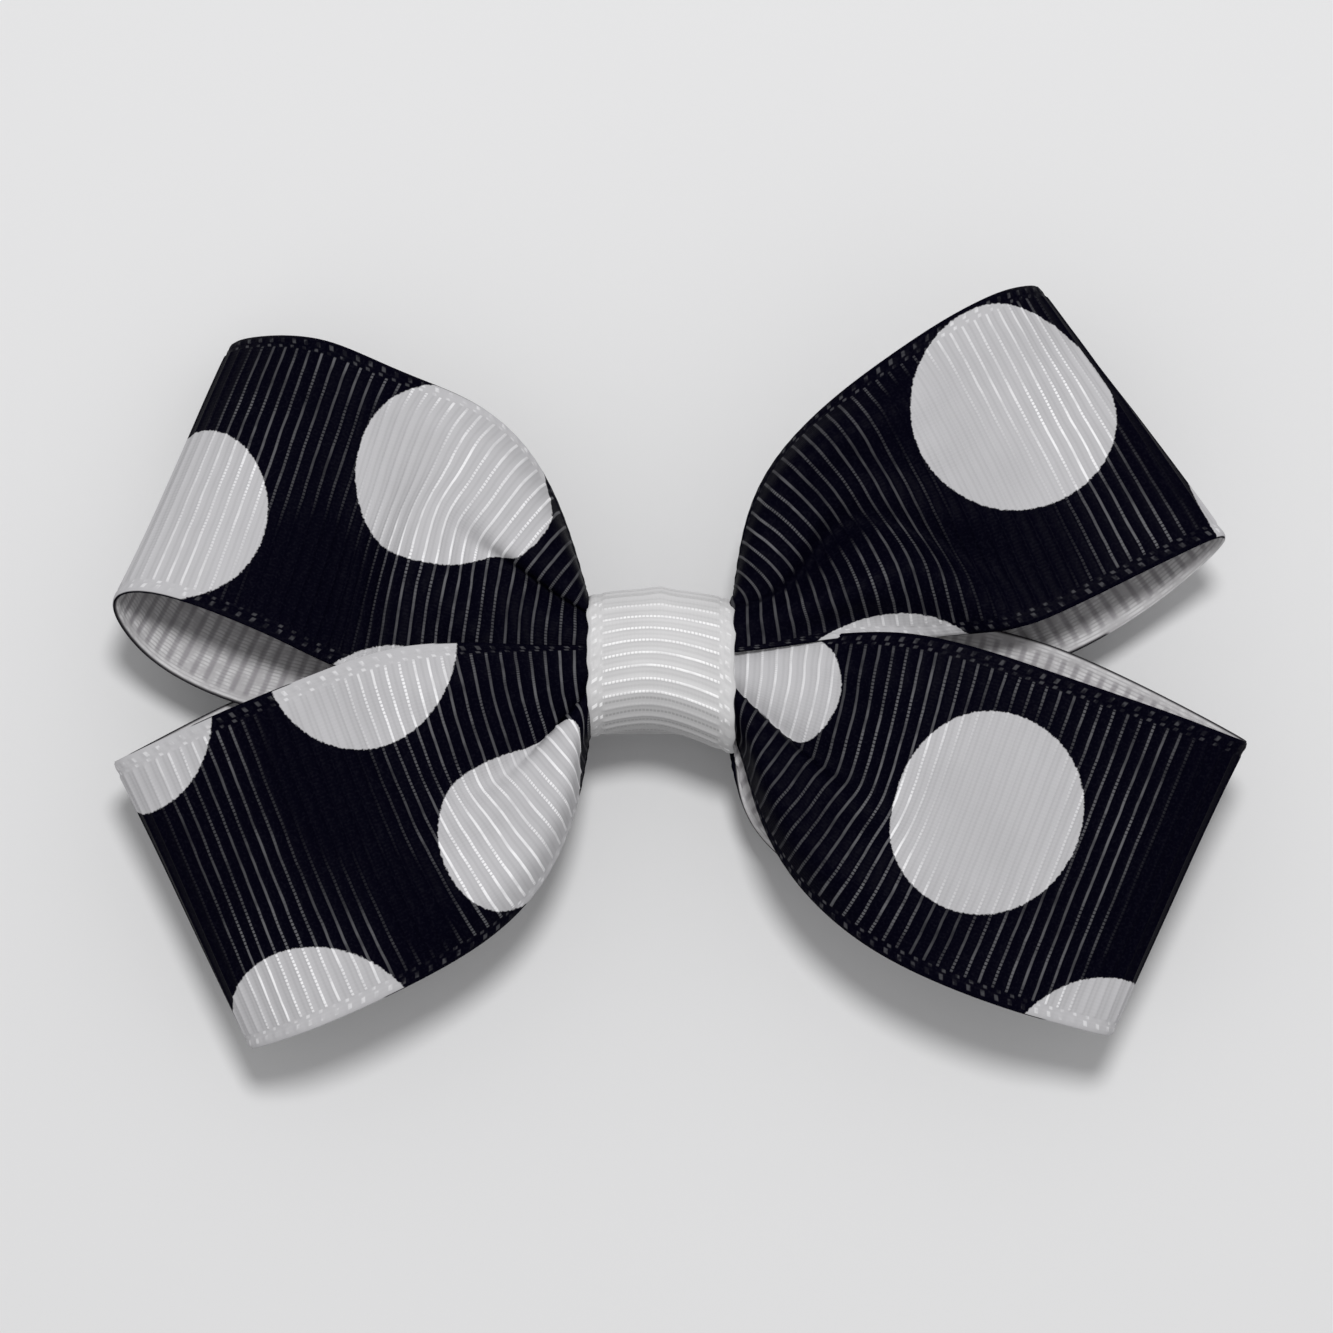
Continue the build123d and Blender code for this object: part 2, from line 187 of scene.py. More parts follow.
# The rest of a loop is straight across, so its rows have two points, inner and outer selvage: round the fold,
# then back under the front layer to the knot. "dots" are (distance along, distance across from the inner
# selvage, radius if not the usual one). The listed patches, as (along, across, half length, half width), and a
# stretch of the given length either side of the fold are where the ribs' crests get no painted highlight,
# leaving painted shade.
LOOPS = {
    "upper_left": {
        "front": [
            [(-5.05, -1.5, 11.2), (-5.05, 2.2, 11.9), (-5.05, 4.7, 11.1),
             (-5.05, 4.2, 11.8), (-5.2, 5.2, 10.6), (-5.1, 4.9, 8.4)],
            [(-8.0, -1.9, 11.5), (-8.1, 2.4, 12.3), (-8.1, 6.3, 10.6),
             (-8.0, 5.7, 12.0), (-6.2, 8.2, 11.6), (-5.8, 7.7, 9.0)],
            [(-11.0, -1.9, 11.9), (-11.1, 3.4, 12.7), (-10.8, 8.5, 10.9),
             (-10.4, 7.9, 12.1), (-7.9, 11.2, 12.6), (-6.8, 11.9, 10.6)],
            [(-14.2, -1.4, 12.5), (-14.0, 4.4, 13.1), (-13.3, 9.3, 11.8),
             (-12.7, 9.4, 12.3), (-10.0, 13.5, 12.5), (-8.3, 14.9, 11.2)],
            [(-18.0, -0.6, 13.2), (-17.4, 5.4, 13.4), (-16.0, 10.4, 12.6),
             (-15.2, 12.0, 12.3), (-13.2, 16.6, 11.9), (-11.6, 18.9, 10.4)],
        ],
        "rest": [
            ((-23.2, 0.5, 13.7), (-17.9, 20.8, 7.9)), ((-27.9, 2.8, 14.6), (-22.5, 23.3, 7.6)),
            ((-32.4, 4.7, 14.8), (-26.2, 24.1, 6.2)), ((-35.8, 5.5, 14.0), (-28.8, 24.2, 4.6)),
            ((-38.1, 4.9, 11.4), (-30.7, 23.8, 2.6)), ((-37.5, 2.6, 8.8), (-29.0, 22.4, 1.6)),
            ((-33.0, -1.1, 8.2), (-23.4, 18.2, 1.6)), ((-23.2, -3.2, 8.2), (-15.6, 14.8, 3.6)),
            ((-11.5, -3.8, 8.6), (-7.6, 8.8, 7.4)), ((-5.05, -4.5, 8.75), (-5.05, 4.5, 8.75)),
        ],
        "dots": [
            (32.4, 6.5, 7.4), (13.0, 16.0, 7.5), (12.5, -4.0, 6.5), (53.0, 16.0), (53.0, -4.0),
            (70.0, 7.0),
        ],
        "unlit": [(21.0, 4.5, 6.5, 8.5), (17.5, 16.0, 4.0, 5.0)],
        "unlit_fold": 3.8,
    },
    "lower_left": {
        "front": [
            [(-5.05, 1.9, 12.1), (-5.05, -0.4, 12.2), (-5.05, -1.9, 11.3),
             (-5.05, -1.4, 12.1), (-5.2, -4.1, 11.6), (-5.1, -4.45, 8.4)],
            [(-8.0, 1.9, 13.6), (-7.8, -0.8, 13.7), (-7.1, -3.8, 11.8),
             (-7.0, -3.1, 12.8), (-5.4, -5.2, 12.4), (-5.4, -6.3, 9.6)],
            [(-11.0, 1.8, 14.6), (-10.4, -1.8, 14.8), (-9.1, -6.2, 12.2),
             (-8.7, -5.6, 13.1), (-6.4, -8.6, 13.2), (-5.8, -9.6, 10.8)],
            [(-14.2, 1.6, 15.3), (-13.2, -2.8, 15.4), (-11.2, -8.2, 12.9),
             (-10.6, -8.0, 13.3), (-7.8, -11.2, 13.7), (-6.7, -12.6, 11.9)],
            [(-18.2, 1.2, 15.7), (-16.8, -4.0, 15.7), (-14.6, -9.2, 14.2),
             (-14.0, -10.4, 14.2), (-11.1, -14.9, 14.2), (-9.3, -16.8, 13.2)],
        ],
        "rest": [
            ((-24.2, -0.3, 15.9), (-16.4, -21.3, 13.8)), ((-29.6, -2.2, 15.4), (-21.6, -24.2, 13.2)),
            ((-34.8, -4.6, 13.4), (-26.2, -25.8, 11.4)), ((-38.2, -6.5, 10.4), (-28.5, -25.8, 8.8)),
            ((-35.8, -4.8, 7.0), (-25.9, -24.7, 5.8)), ((-28.0, -0.8, 6.5), (-20.0, -20.6, 5.0)),
            ((-19.0, 0.4, 6.6), (-13.0, -14.6, 5.4)), ((-10.5, 2.4, 6.95), (-8.0, -8.6, 6.6)),
            ((-5.05, 4.5, 7.25), (-5.05, -4.5, 7.25)),
        ],
        "dots": [
            (15.1, -0.2, 6.5), (32.5, -2.5, 6.8), (28.2, 23.9, 7.4), (8.3, 16.3, 6.7), (46.0, 11.0),
            (62.0, -2.0), (64.0, 22.0),
        ],
        "unlit": [(20.5, 6.0, 5.0, 10.0), (18.0, 17.0, 3.0, 6.0)],
        "unlit_fold": 3.6,
    },
    "upper_right": {
        "front": [
            [(5.05, 1.35, 12.1), (5.05, 3.2, 12.2), (5.1, 4.5, 11.3),
             (5.1, 4.8, 11.6), (5.1, 5.2, 10.9), (5.15, 5.0, 9.0)],
            [(8.0, 1.5, 12.5), (7.7, 3.8, 12.8), (7.5, 5.0, 11.4),
             (7.2, 5.6, 11.8), (5.6, 7.2, 12.2), (4.9, 7.4, 11.0)],
            [(10.9, 2.2, 12.7), (10.2, 4.9, 13.3), (9.4, 6.7, 11.4),
             (8.8, 7.4, 12.0), (6.6, 9.6, 12.9), (5.3, 10.4, 12.1)],
            [(14.2, 2.8, 12.5), (13.2, 6.0, 13.4), (11.3, 9.0, 11.6),
             (10.8, 10.0, 12.2), (8.3, 12.5, 13.4), (6.4, 13.2, 12.7)],
            [(18.4, 2.7, 12.3), (16.8, 7.4, 13.2), (14.6, 11.0, 12.6),
             (13.8, 12.6, 12.8), (11.4, 16.2, 13.6), (9.7, 17.0, 13.0)],
        ],
        "rest": [
            ((24.0, 2.9, 12.9), (15.7, 21.6, 12.8)), ((29.2, 4.9, 13.4), (20.2, 24.7, 12.4)),
            ((35.2, 8.0, 12.8), (24.4, 26.9, 10.6)), ((40.0, 9.8, 10.6), (26.4, 27.0, 8.0)),
            ((38.0, 7.0, 7.9), (24.0, 25.8, 5.4)), ((31.0, 2.6, 6.8), (17.5, 20.0, 4.9)),
            ((21.5, -0.8, 6.5), (11.5, 13.5, 5.6)), ((11.5, -3.0, 6.8), (7.6, 8.2, 6.7)),
            ((5.05, -4.5, 7.25), (5.05, 4.5, 7.25)),
        ],
        "dots": [
            (24.9, 14.5, 7.4), (10.3, -4.4, 6.7), (40.0, 1.0), (45.5, 21.0), (58.0, 7.0), (70.0, 22.0),
        ],
        "unlit": [(20.5, 6.0, 5.5, 11.0), (7.0, 10.8, 6.5, 1.8), (19.0, 17.0, 4.0, 5.0)],
        "unlit_fold": 3.4,
    },
    "lower_right": {
        "front": [
            [(5.05, 2.4, 10.6), (5.05, -0.1, 11.8), (5.05, -1.6, 11.3),
             (5.05, -1.1, 12.1), (5.3, -3.7, 11.6), (5.3, -4.5, 8.8)],
            [(8.1, 2.2, 11.2), (7.9, -0.8, 12.7), (7.5, -3.7, 11.9),
             (7.2, -3.0, 13.0), (6.2, -5.3, 12.6), (5.95, -6.3, 10.0)],
            [(11.1, 2.4, 12.0), (10.8, -1.4, 13.4), (9.9, -6.0, 12.2),
             (9.4, -5.4, 13.3), (7.5, -7.9, 13.4), (6.5, -9.1, 11.2)],
            [(14.3, 2.5, 13.5), (13.7, -2.2, 14.2), (12.1, -8.0, 12.8),
             (11.6, -7.7, 13.5), (9.0, -10.7, 13.9), (7.5, -12.2, 12.2)],
            [(18.4, 2.3, 14.9), (17.4, -3.4, 15.2), (15.6, -9.2, 14.0),
             (15.0, -10.2, 14.0), (12.4, -14.1, 14.2), (10.4, -16.1, 13.2)],
        ],
        "rest": [
            ((24.4, 1.1, 15.4), (16.4, -20.8, 13.8)), ((30.2, -0.5, 15.3), (21.6, -23.5, 13.6)),
            ((36.4, -2.6, 14.0), (27.2, -25.0, 12.4)), ((41.0, -4.7, 11.2), (31.0, -25.2, 10.2)),
            ((38.8, -2.9, 8.4), (28.8, -24.2, 7.1)), ((31.4, 0.8, 8.1), (22.4, -20.4, 5.9)),
            ((23.0, 3.2, 8.2), (13.6, -15.4, 6.3)), ((14.0, 3.6, 8.5), (6.4, -11.0, 7.2)),
            ((8.5, 4.2, 8.6), (5.15, -7.2, 7.9)), ((5.05, 4.5, 8.75), (4.85, -5.0, 8.5)),
        ],
        "dots": [
            (20.2, 10.4, 6.85), (0.45, 5.4, 7.05), (34.3, 25.1), (47.5, 8.0), (58.0, 24.0), (66.0, 4.0),
        ],
        "unlit": [(21.0, 9.5, 6.0, 8.0)],
        "unlit_fold": 5.2,
    },
}


# ---------------------------------------------------------------- curves and grids

def smooth_step(low, high, value):
    u = np.clip((value - low) / (high - low), 0, 1)
    return u * u * (3 - 2 * u)


def catmull(points, params, at):
    """A smooth curve through rows of points, each at its own parameter, read at other parameters."""
    count = len(points)
    i = np.clip(np.searchsorted(params, at, side="right") - 1, 0, count - 2)
    gaps = np.diff(params)
    column = (-1,) + (1,) * (points.ndim - 1)
    slopes = np.diff(points, axis=0) / gaps.reshape(column)
    tangent = np.empty_like(points)
    share = (gaps[:-1] / (gaps[:-1] + gaps[1:])).reshape(column)
    tangent[1:-1] = slopes[:-1] * (1 - share) + slopes[1:] * share
    tangent[0], tangent[-1] = slopes[0], slopes[-1]
    h = gaps[i]
    u = ((at - params[i]) / h).reshape(column)
    h = h.reshape(column)
    return (points[i] * (2 * u**3 - 3 * u**2 + 1) + tangent[i] * h * (u**3 - 2 * u**2 + u)
            + points[i + 1] * (3 * u**2 - 2 * u**3) + tangent[i + 1] * h * (u**3 - u**2))


def step_lengths(grid, axis):
    return np.linalg.norm(np.diff(grid, axis=axis), axis=2)


def first_shape(loop):
    """The loop's net, filled in to an even grid of rows across the ribbon."""
    rows = [np.array(row, float) for row in loop["front"]]
    share = np.array(ACROSS_SHARES)[:, None]
    for inner, outer in loop["rest"]:
        rows.append(np.array(inner) * (1 - share) + np.array(outer) * share)
    across = np.linspace(0, 1, STEPS_ACROSS + 1)
    wide = np.array([catmull(row, share[:, 0], across) for row in rows])
    middle = wide.mean(axis=1)
    along = np.r_[0, np.cumsum(np.linalg.norm(np.diff(middle, axis=0), axis=1))]
    length = step_lengths(wide, 0).sum(axis=0).mean()
    count = int(round(length / STEP_ALONG))
    return catmull(wide, along / along[-1], np.linspace(0, 1, count + 1))


def pull(grid, loose, a, b, rest, amount=1.0):
    """Move each pair of points towards its rest distance, sharing the move between the two that are loose."""
    gap = grid[b] - grid[a]
    length = np.linalg.norm(gap, axis=-1, keepdims=True) + 1e-9
    loose_a, loose_b = loose[a], loose[b]
    move = amount * (length - rest) / length * gap / np.maximum(loose_a + loose_b, 1e-9)
    grid[a] = grid[a] + move * loose_a
    grid[b] = grid[b] - move * loose_b


def soften(grid, rounds):
    """Even out row-to-row jitter, leaving the first and last rows alone."""
    soft = grid.copy()
    for _ in range(rounds):
        soft[1:-1] = 0.5 * soft[1:-1] + 0.25 * (soft[:-2] + soft[2:])
    return soft


def hold_bends(grid, loose, step, width, opened):
    """Resist bending, by pulling points two steps apart towards the length of two flat steps."""
    rows, cols = grid.shape[:2]
    every = slice(None)
    for o in range(4):
        a, b = (slice(o, rows - 2, 4), every), (slice(o + 2, rows, 4), every)
        pull(grid, loose, a, b, step[a] + step[o + 1:rows - 1:4], STIFF_ALONG)
        a, b = (every, slice(o, cols - 2, 4)), (every, slice(o + 2, cols, 4))
        pull(grid, loose, a, b, width[a] + width[:, o + 1:cols - 1:4], STIFF_ACROSS * opened[:, :, None])


def hold_lengths(grid, loose, step, width, diagonal):
    """Pull each cell of the grid towards its own length, width and diagonals."""
    rows, cols = grid.shape[:2]
    every = slice(None)
    for o in (0, 1):
        pull(grid, loose, (slice(o, rows - 1, 2), every), (slice(o + 1, rows, 2), every), step[o::2])
        low, high = (every, slice(o, cols - 1, 2)), (every, slice(o + 1, cols, 2))
        pull(grid, loose, low, high, width[:, o::2], HOLD_WIDTH)
    for oi in (0, 1):
        for oj in (0, 1):
            low, high = slice(oi, rows - 1, 2), slice(oi + 1, rows, 2)
            near, far = slice(oj, cols - 1, 2), slice(oj + 1, cols, 2)
            rest = diagonal[oi::2, oj::2]
            pull(grid, loose, (low, near), (high, far), rest, HOLD_SHEAR)
            pull(grid, loose, (high, near), (low, far), rest, HOLD_SHEAR)


def relax(start):
    """Settle a loop's grid as cloth that can't stretch. Each column keeps a length halfway between its own
    and the mean, in equal steps. The rows open from the gathers at the knot to the ribbon's full width."""
    across_step = RIBBON_WIDTH / STEPS_ACROSS
    grid = start.copy()
    rows, cols = grid.shape[:2]
    loose = np.ones((rows, cols, 1))
    loose[0] = loose[-1] = 0
    step = step_lengths(start, 0).mean(axis=0)
    step = 0.5 * (step + step.mean())
    step = np.broadcast_to(step, (rows - 1, cols))[..., None]
    from_knot = np.minimum(np.arange(rows), np.arange(rows)[::-1]) * STEP_ALONG
    opened = smooth_step(0, 1, (from_knot - GATHER_LENGTH) / OPENING_LENGTH)[:, None]
    width = (step_lengths(start, 1) * (1 - opened) + across_step * opened)[..., None]
    width = np.minimum(width, across_step * MOST_STRETCH)
    diagonal = np.sqrt((0.5 * (step[:, :-1] + step[:, 1:]))**2 + (0.5 * (width[:-1] + width[1:]))**2)
    for turn in range(SETTLING_ROUNDS):
        firmness = np.array(HOLD) * (1 if turn < 0.75 * SETTLING_ROUNDS else LATE_HOLD)
        grid += firmness * (start - grid) * loose
        hold_bends(grid, loose, step, width, opened)
        for _ in range(2):
            hold_lengths(grid, loose, step, width, diagonal)
        if turn % 4 == 3:
            grid += 0.25 * (soften(grid, 1) - grid) * loose
    calm = soften(grid, 8)
    calm += soften(grid - calm, 8)
    return soften(calm.transpose(1, 0, 2), 2).transpose(1, 0, 2)


def grid_normals(grid):
    along = np.gradient(grid, axis=0)
    across = np.gradient(grid, axis=1)
    normal = np.cross(along, across)
    return normal / (np.linalg.norm(normal, axis=2, keepdims=True) + 1e-12)


# ---------------------------------------------------------------- meshes

def new_object(name, mesh):
    mesh.shade_smooth()
    piece = bpy.data.objects.new(name, mesh)
    bpy.context.collection.objects.link(piece)
    return piece


def quad_mesh(name, points, faces, materials, face_material=None, attributes=None):
    """A smooth-shaded mesh object from points in mm, with float values on its points."""
    mesh = bpy.data.meshes.new(name)
    mesh.vertices.add(len(points))
    mesh.vertices.foreach_set("co", (np.asarray(points, float) * MM).ravel())
    faces = np.asarray(faces, np.int32)
    mesh.loops.add(faces.size)
    mesh.loops.foreach_set("vertex_index", faces.ravel())
    mesh.polygons.add(len(faces))
    mesh.polygons.foreach_set("loop_start", np.arange(0, faces.size, faces.shape[1], dtype=np.int32))
    for material in materials:
        mesh.materials.append(material)
    if face_material is not None:
        mesh.polygons.foreach_set("material_index", np.asarray(face_material, np.int32))
    for key, values in (attributes or {}).items():
        layer = mesh.attributes.new(key, "FLOAT", "POINT")
        layer.data.foreach_set("value", np.asarray(values, np.float32).ravel())
    mesh.update(calc_edges=True)
    mesh.validate()
    return new_object(name, mesh)


def closed_rings(name, rings, ends, material):
    """A smooth solid through rings of points in mm, each turning anticlockwise as seen from the next. Fans
    round the two end points close it."""
    count, sides = rings.shape[:2]
    first, last = count * sides, count * sides + 1
    faces = []
    for base in range(0, first - sides, sides):
        for j in range(sides):
            k = (j + 1) % sides
            faces.append((base + j, base + k, base + sides + k, base + sides + j))
    for j in range(sides):
        faces.append((first, (j + 1) % sides, j))
    base = first - sides
    for j in range(sides):
        faces.append((last, base + j, base + (j + 1) % sides))
    points = np.concatenate((rings.reshape(-1, 3), ends))
    mesh = bpy.data.meshes.new(name)
    mesh.from_pydata([tuple(p * MM) for p in points], [], faces)
    mesh.materials.append(material)
    return new_object(name, mesh)


def tube(name, path, radius, material, sides=12):
    """A round wire along a path of points in mm, with rounded ends."""
    path = np.array(path, float)
    tangent = np.gradient(path, axis=0)
    tangent /= np.linalg.norm(tangent, axis=1, keepdims=True)
    sideways = np.cross(tangent, (0.0, 1.0, 0.0))
    sideways /= np.linalg.norm(sideways, axis=1, keepdims=True)
    upward = np.cross(tangent, sideways)
    cap = (0.98, 0.8, 0.45)  # the rings of a rounded end, in radii out from the path's end
    steps = [(path[0] - tangent[0] * radius * f, radius * np.sqrt(1 - f * f), 0) for f in cap]
    steps += [(point, radius, i) for i, point in enumerate(path)]
    steps += [(path[-1] + tangent[-1] * radius * f, radius * np.sqrt(1 - f * f), -1) for f in cap[::-1]]
    angle = np.linspace(0, 2 * math.pi, sides, endpoint=False)
    rings = []
    for centre, r, i in steps:
        rings.append(centre + r * (np.cos(angle)[:, None] * sideways[i] + np.sin(angle)[:, None] * upward[i]))
    return closed_rings(name, np.array(rings), np.array((steps[0][0], steps[-1][0])), material)


def grid_faces(rows, cols, first=0, flip=False):
    index = first + np.arange(rows * cols).reshape(rows, cols)
    a, b, c, d = index[:-1, :-1], index[1:, :-1], index[1:, 1:], index[:-1, 1:]
    order = (a, d, c, b) if flip else (a, b, c, d)
    return np.stack(order, axis=-1).reshape(-1, 4)


def rim_faces(rows, cols):
    """Quads that join the edges of an outer and an inner grid into a closed shell."""
    outer = np.arange(rows * cols).reshape(rows, cols)
    inner = outer + rows * cols
    loop = np.r_[outer[:, 0], outer[-1, 1:], outer[-2::-1, -1], outer[0, -2:0:-1]]
    pair = np.r_[inner[:, 0], inner[-1, 1:], inner[-2::-1, -1], inner[0, -2:0:-1]]
    return np.stack((np.roll(loop, -1), loop, pair, np.roll(pair, -1)), axis=-1)


# ---------------------------------------------------------------- grosgrain ribbon

def rib_rows(first, stop, pitch):
    """Distances along a ribbon of its mesh rows, a set for each rib."""
    return pitch * (np.arange(first, stop)[:, None] + np.array(RIB_STEPS)[None, :]).ravel()


def edge_spacing(width):
    """Places across a ribbon, closer together over its selvages."""
    edge = np.array(SELVAGE_ROWS)
    inside = np.linspace(edge[-1], width - edge[-1], int((width - 2 * edge[-1]) / ROW_SPACING) + 1)
    return np.r_[edge, inside[1:-1], width - edge[::-1]]


def rib_height(rib, edge, sharpness):
    """How far the weave stands proud, as a share of RIB_HEIGHT, for the rib number and the distance from the
    nearer edge. Ribs stop at the selvage, where the weft turns back in a row of small slanting bumps."""
    crest = 0.5 + 0.5 * np.cos(2 * np.pi * rib)
    ribs = crest**sharpness * smooth_step(0.80 * SELVAGE, 1.05 * SELVAGE, edge)
    slant = rib + 0.5 + BUMP_SLANT * (edge - 0.5)
    bumps = np.abs(np.cos(np.pi * slant))**1.5 * np.exp(-((edge - BUMP_PLACE) / BUMP_SPREAD)**2)
    return ribs + BUMP_SHARE * bumps


def ribbon_shell(name, middle, rib, across, width, thick, materials, outward, extra):
    """A ribbon as a thin closed shell round its middle surface, ribbed on both faces. The inner face's ribs
    lie in the outer one's grooves."""
    normal = grid_normals(middle) * outward
    edge = np.minimum(across, width - across)[None, :] * np.ones((len(rib), 1))
    taper = 0.5 * thick * (EDGE_THIN + (1 - EDGE_THIN) * smooth_step(0.0, EDGE_ROUND, edge))
    above = (taper + RIB_HEIGHT * rib_height(rib[:, None], edge, OUTER_SHARPNESS))[..., None]
    below = (taper + RIB_HEIGHT * rib_height(rib[:, None] + 0.5, edge, INNER_SHARPNESS))[..., None]
    rows, cols = middle.shape[:2]
    points = np.concatenate(((middle + normal * above).reshape(-1, 3),
                             (middle - normal * below).reshape(-1, 3)))
    outer = grid_faces(rows, cols, 0, flip=outward < 0)
    inner = grid_faces(rows, cols, rows * cols, flip=outward > 0)
    rim = rim_faces(rows, cols)
    if outward < 0:
        rim = rim[:, ::-1]
    faces = np.concatenate((outer, inner, rim))
    which = np.r_[np.zeros(len(outer)), np.ones(len(inner)), np.zeros(len(rim))]
    values = {
        "rib": np.broadcast_to(rib[:, None], (rows, cols)),
        "across": np.broadcast_to(across, (rows, cols)),
        "edge": edge,
        **extra,
    }
    values = {key: np.concatenate((np.ravel(v), np.ravel(v))) for key, v in values.items()}
    return quad_mesh(name, points, faces, materials, which, values)


# ---------------------------------------------------------------- materials

class Nodes:
    """Short calls for building a shader."""

    def __init__(self, name):
        self.material = bpy.data.materials.new(name)
        self.material.use_nodes = True
        self.tree = self.material.node_tree
        self.shader = self.tree.nodes["Principled BSDF"]

    def set(self, **values):
        for key, value in values.items():
            self.shader.inputs[key.replace("_", " ")].default_value = value

    def link(self, value, socket):
        if hasattr(value, "is_output"):
            self.tree.links.new(value, socket)
        else:
            socket.default_value = value

    def attribute(self, name):
        node = self.tree.nodes.new("ShaderNodeAttribute")
        node.attribute_name = name
        return node.outputs["Fac"]

    def math(self, operation, a, b=0.0, c=0.0):
        node = self.tree.nodes.new("ShaderNodeMath")
        node.operation = operation
        for socket, value in zip(node.inputs, (a, b, c)):
            self.link(value, socket)
        return node.outputs[0]

    def times(self, first, *others):
        for value in others:
            first = self.math("MULTIPLY", first, value)
        return first

    def ridges(self, value, pitch=1.0):
        """Round ridges from 0 to 1, with a crest at each whole number of pitches."""
        return self.math("ABSOLUTE", self.math("COSINE", self.math("MULTIPLY", value, math.pi / pitch)))

    def steps(self, value, low, high, to_low=0.0, to_high=1.0):
        node = self.tree.nodes.new("ShaderNodeMapRange")
        node.interpolation_type = "SMOOTHSTEP"
        for key, item in (("Value", value), ("From Min", low), ("From Max", high), ("To Min", to_low),
                          ("To Max", to_high)):
            self.link(item, node.inputs[key])
        return node.outputs["Result"]

    def noise(self, scale, detail=2.0, roughness=0.5):
        node = self.tree.nodes.new("ShaderNodeTexNoise")
        node.inputs["Scale"].default_value = scale
        node.inputs["Detail"].default_value = detail
        node.inputs["Roughness"].default_value = roughness
        place = self.tree.nodes.new("ShaderNodeTexCoord")
        self.link(place.outputs["Object"], node.inputs["Vector"])
        return node.outputs["Fac"]

    def mix_value(self, amount, a, b):
        node = self.tree.nodes.new("ShaderNodeMix")
        for index, value in ((0, amount), (2, a), (3, b)):
            self.link(value, node.inputs[index])
        return node.outputs[0]

    def mix(self, amount, a, b):
        """Blend two colours, each given as a socket or as three numbers."""
        node = self.tree.nodes.new("ShaderNodeMix")
        node.data_type = "RGBA"
        self.link(amount, node.inputs["Factor"])
        for value, socket in ((a, node.inputs[6]), (b, node.inputs[7])):
            self.link(value if hasattr(value, "is_output") else (*value, 1.0), socket)
        return node.outputs[2]

    def bump(self, height, distance, strength):
        node = self.tree.nodes.new("ShaderNodeBump")
        node.inputs["Strength"].default_value = strength
        node.inputs["Distance"].default_value = distance
        self.link(height, node.inputs["Height"])
        self.link(node.outputs["Normal"], self.shader.inputs["Normal"])


def dim(colour, share):
    return [c * share for c in colour]


def crest_lines(n, crest, threads, inside_edge, beads):
    """A painted highlight: the thin line where a rib's threads stand up and catch the light, whole in places,
    a row of beads in others."""
    crest_highlight = n.attribute("crest_highlight")
    beads = n.math("MAXIMUM", n.steps(n.noise(340.0), *beads), n.steps(crest_highlight, 0.35, 0.9, 1.0, 0.0))
    beading = n.mix_value(beads, 1.0, n.steps(threads, 0.1, 0.8))
    unevenness = n.steps(n.noise(650.0), 0.30, 0.58, 0.50, 1.0)
    return n.times(n.steps(crest, 0.93, 0.985), beading, inside_edge, crest_highlight, unevenness)


def add_stitches(n, line, rib, edge, brightest):
    """Two rows of slanting dashes along the selvage, where the weft turns back."""
    stitches = n.steps(n.noise(1500.0), 0.40, 0.62, 0.05, brightest)
    for low, high, phase in ((0.26, 0.62, 0.28), (0.78, 0.98, 0.06)):
        slant = n.math("ADD", rib, n.math("MULTIPLY_ADD", edge, BUMP_SLANT, phase))
        dash = n.times(n.steps(n.ridges(slant), 0.84, 0.96), n.steps(edge, low, low + 0.1))
        dash = n.times(dash, n.steps(edge, high, high + 0.1, 1.0, 0.0))
        line = n.math("MAXIMUM", line, n.times(dash, stitches))
    return line


def white_weave(n, line, crest, threads, inside_edge, look):
    """White threads under the rib lines, with painted shade in the grooves between the ribs. On the wrap's
    flank that faces away from the lamp an attribute paints shade over the white and deepens the groove shade."""
    band = look["band"]
    dark = n.attribute("groove_shade")
    groove_shade = n.times(n.steps(crest, 0.10, 0.45, 1.0, 0.0), inside_edge)
    groove_shade = n.times(groove_shade, n.mix_value(dark, 1.0, n.steps(threads, 0.0, 0.7)))
    body = n.mix(n.steps(n.noise(160.0, 3.0), 0.3, 0.7), band, dim(band, 0.93))
    body = n.mix(dark, body, dim(band, 0.72))
    body = n.mix(n.times(groove_shade, n.mix_value(dark, 0.14, 0.75)), body, dim(band, 0.45))
    return n.mix(line, body, look["line"])


def ink_round_dots(n, line, edge, white):
    """Ink over all but the dots, whose rims are a little ragged."""
    dot = n.attribute("dot")
    ragged = n.math("MULTIPLY_ADD", n.noise(4800.0), 0.26, -0.13)
    inside = n.steps(n.math("ADD", dot, ragged), -0.05, 0.05, 1.0, 0.0)
    core = n.steps(dot, *DOT_CORE, 1.0, 0.0)
    # Along the ribbon's edge the dots turn dark too, except in their core.
    inside = n.times(inside, n.math("MAXIMUM", n.steps(edge, 0.02, 0.10), core))
    ink = n.mix(n.steps(n.noise(5200.0), 0.45, 0.75), INK, INK_FLECK)
    return n.mix(inside, n.mix(line, ink, INK_CREST_HIGHLIGHT), white)


def raise_threads(n, threads):
    """Fine relief from the warp threads and their fibres."""
    height = n.math("ADD", n.times(threads, 0.6), n.times(n.noise(9000.0), 0.5))
    n.bump(height, distance=0.00002, strength=0.6)


